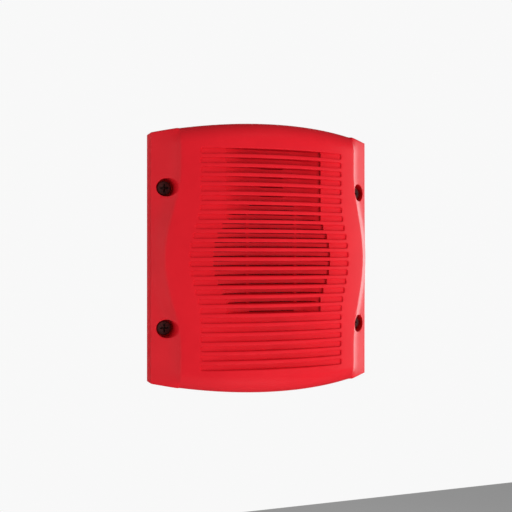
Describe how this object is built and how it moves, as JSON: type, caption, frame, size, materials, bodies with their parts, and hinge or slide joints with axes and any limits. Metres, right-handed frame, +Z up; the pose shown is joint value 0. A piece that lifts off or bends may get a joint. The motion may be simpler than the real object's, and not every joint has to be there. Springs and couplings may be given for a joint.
{
  "type": "wall-mount fire alarm sounder",
  "caption": "Louvred wall-mount fire alarm sounder: a curved front unit with a speaker, transformer and terminals, on a flat wall-box mounting plate.",
  "frame": {"origin": "centre of the mounting plate's back face, on the wall", "axes": "+Z up, -Y out of the wall towards the listener, +X to the right seen from the front"},
  "size_m": [0.1296, 0.0531, 0.1466],
  "materials": {
    "red_cover": "satin moulded",
    "black_screw": "black oxide",
    "zinc_plate": "zinc plated",
    "steel_hardware": "plated",
    "nylon": "natural nylon",
    "dust_screen": "fine open weave",
    "foam": "closed cell foam",
    "basket_metal": "black pressed steel",
    "surround_cloth": "treated cloth",
    "cone_paper": "pressed pulp",
    "former_paper": "wound kraft paper",
    "copper_wire": "enamelled copper",
    "spider_cloth": "corrugated resin cloth",
    "ferrite": "ground ferrite",
    "black_plastic": "moulded",
    "board_green": "solder mask",
    "lamination": "stacked laminations",
    "bobbin_plastic": "moulded",
    "capacitor_sleeve": "shrink sleeve",
    "terminal_plastic": "moulded",
    "clamp_brass": "plated",
    "selector_blue": "moulded",
    "white_plastic": "moulded",
    "lead_sleeve": "insulated wire"
  },
  "bodies": {
    "plate": {"mounting_plate": "zinc_plate", "plate_nuts": "steel_hardware"},
    "front_unit": {"front_cover": "red_cover", "screw_retainers": "nylon", "acoustic_screen": "dust_screen", "speaker_gasket": "foam", "speaker_frame": "basket_metal", "top_plate": "steel_hardware", "ring_magnet": "ferrite", "pole_plate": "steel_hardware", "speaker_screws": "steel_hardware", "rear_chassis": "black_plastic", "chassis_screws": "steel_hardware", "circuit_board": "board_green", "board_screws": "steel_hardware", "transformer_core": "lamination", "transformer_bobbin": "bobbin_plastic", "transformer_winding": "copper_wire", "transformer_bracket": "zinc_plate", "capacitors": "capacitor_sleeve", "terminal_block": "terminal_plastic", "terminal_screws": "steel_hardware", "terminal_clamps": "clamp_brass", "power_selector": "selector_blue", "voltage_switch": "black_plastic", "lead_tags": "clamp_brass", "speaker_leads": "lead_sleeve"},
    "cone": {"speaker_cone": "cone_paper", "dust_cap": "cone_paper", "coil_former": "former_paper", "coil_winding": "copper_wire", "speaker_spider": "spider_cloth", "speaker_surround": "surround_cloth"},
    "power_rotor": {"power_rotor": "white_plastic"},
    "voltage_slider": {"voltage_slider": "white_plastic"},
    "cover_screw_1": {"cover_screw_1": "black_screw"},
    "cover_screw_2": {"cover_screw_2": "black_screw"},
    "cover_screw_3": {"cover_screw_3": "black_screw"},
    "cover_screw_4": {"cover_screw_4": "black_screw"}
  },
  "joints": [
    {"name": "front_unit_pull", "type": "slide", "parent": "plate", "child": "front_unit", "axis": [0, -1, 0], "range_m": [0, 0.08]},
    {"name": "cone_stroke", "type": "slide", "parent": "front_unit", "child": "cone", "axis": [0, -1, 0], "range_m": [-0.0015, 0.0015], "stiffness_N_per_m": 1200, "deforming": ["speaker_surround", "speaker_spider"]},
    {"name": "power_rotor_turn", "type": "hinge", "parent": "front_unit", "child": "power_rotor", "pos_m": [0.0312, 0.0036, 0], "axis": [0, 1, 0], "range_deg": [0, 90]},
    {"name": "voltage_slider_move", "type": "slide", "parent": "front_unit", "child": "voltage_slider", "axis": [0, 0, 1], "range_m": [0, 0.002]},
    {"name": "cover_screw_1_turn", "type": "hinge", "parent": "front_unit", "child": "cover_screw_1", "pos_m": [-0.05715, -0.0072, 0.0381], "axis": [0, -1, 0], "continuous": true},
    {"name": "cover_screw_2_turn", "type": "hinge", "parent": "front_unit", "child": "cover_screw_2", "pos_m": [0.05715, -0.0072, 0.0381], "axis": [0, -1, 0], "continuous": true},
    {"name": "cover_screw_3_turn", "type": "hinge", "parent": "front_unit", "child": "cover_screw_3", "pos_m": [-0.05715, -0.0072, -0.0381], "axis": [0, -1, 0], "continuous": true},
    {"name": "cover_screw_4_turn", "type": "hinge", "parent": "front_unit", "child": "cover_screw_4", "pos_m": [0.05715, -0.0072, -0.0381], "axis": [0, -1, 0], "continuous": true}
  ]
}
